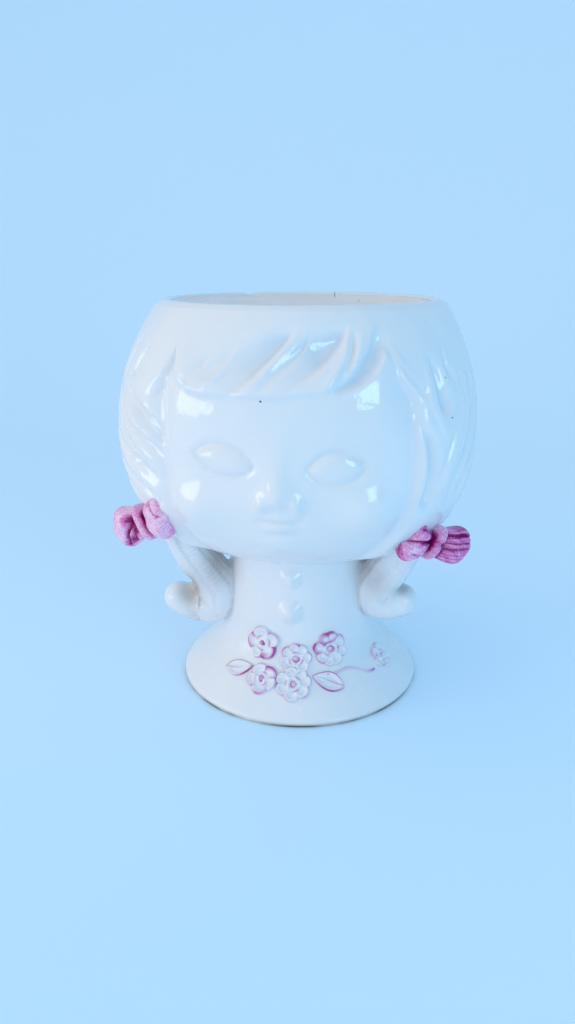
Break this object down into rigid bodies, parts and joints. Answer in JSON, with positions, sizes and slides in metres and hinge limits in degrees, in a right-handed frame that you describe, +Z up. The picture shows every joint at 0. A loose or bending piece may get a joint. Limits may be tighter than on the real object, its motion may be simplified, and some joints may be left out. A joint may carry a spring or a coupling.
{
  "type": "head planter",
  "caption": "Hollow glazed ceramic head with moulded hair and bow-tied pigtails on a neck that flares to a round foot, open at the top to hold a plant.",
  "frame": {"origin": "middle of the foot, on the surface that the planter stands on", "axes": "+Z up, the face looks along -Y, +X is on the viewer's right when the face is seen from the front"},
  "size_m": [0.1452, 0.1399, 0.165],
  "materials": {
    "white_glaze": "glossy white glaze",
    "bow_glaze": "glossy pink glaze, darker in the folds",
    "sprig_glaze": "glossy white glaze with a pink wash"
  },
  "bodies": {
    "root": {"head_pot": "white_glaze", "neck_pedestal": "white_glaze", "pigtail_left": "white_glaze", "pigtail_right": "white_glaze", "button_upper": "white_glaze", "button_lower": "white_glaze", "bow_left_outer_loop": "bow_glaze", "bow_left_inner_loop": "bow_glaze", "bow_left_knot": "bow_glaze", "bow_right_outer_loop": "bow_glaze", "bow_right_inner_loop": "bow_glaze", "bow_right_knot": "bow_glaze", "flower_1": "sprig_glaze", "flower_2": "sprig_glaze", "flower_3": "sprig_glaze", "flower_4": "sprig_glaze", "flower_5": "sprig_glaze", "flower_6": "sprig_glaze", "flower_1_centre": "sprig_glaze", "flower_2_centre": "sprig_glaze", "flower_3_centre": "sprig_glaze", "flower_4_centre": "sprig_glaze", "flower_5_centre": "sprig_glaze", "flower_6_centre": "sprig_glaze", "leaf_left": "sprig_glaze", "leaf_right": "sprig_glaze", "tendril": "sprig_glaze"}
  },
  "joints": []
}
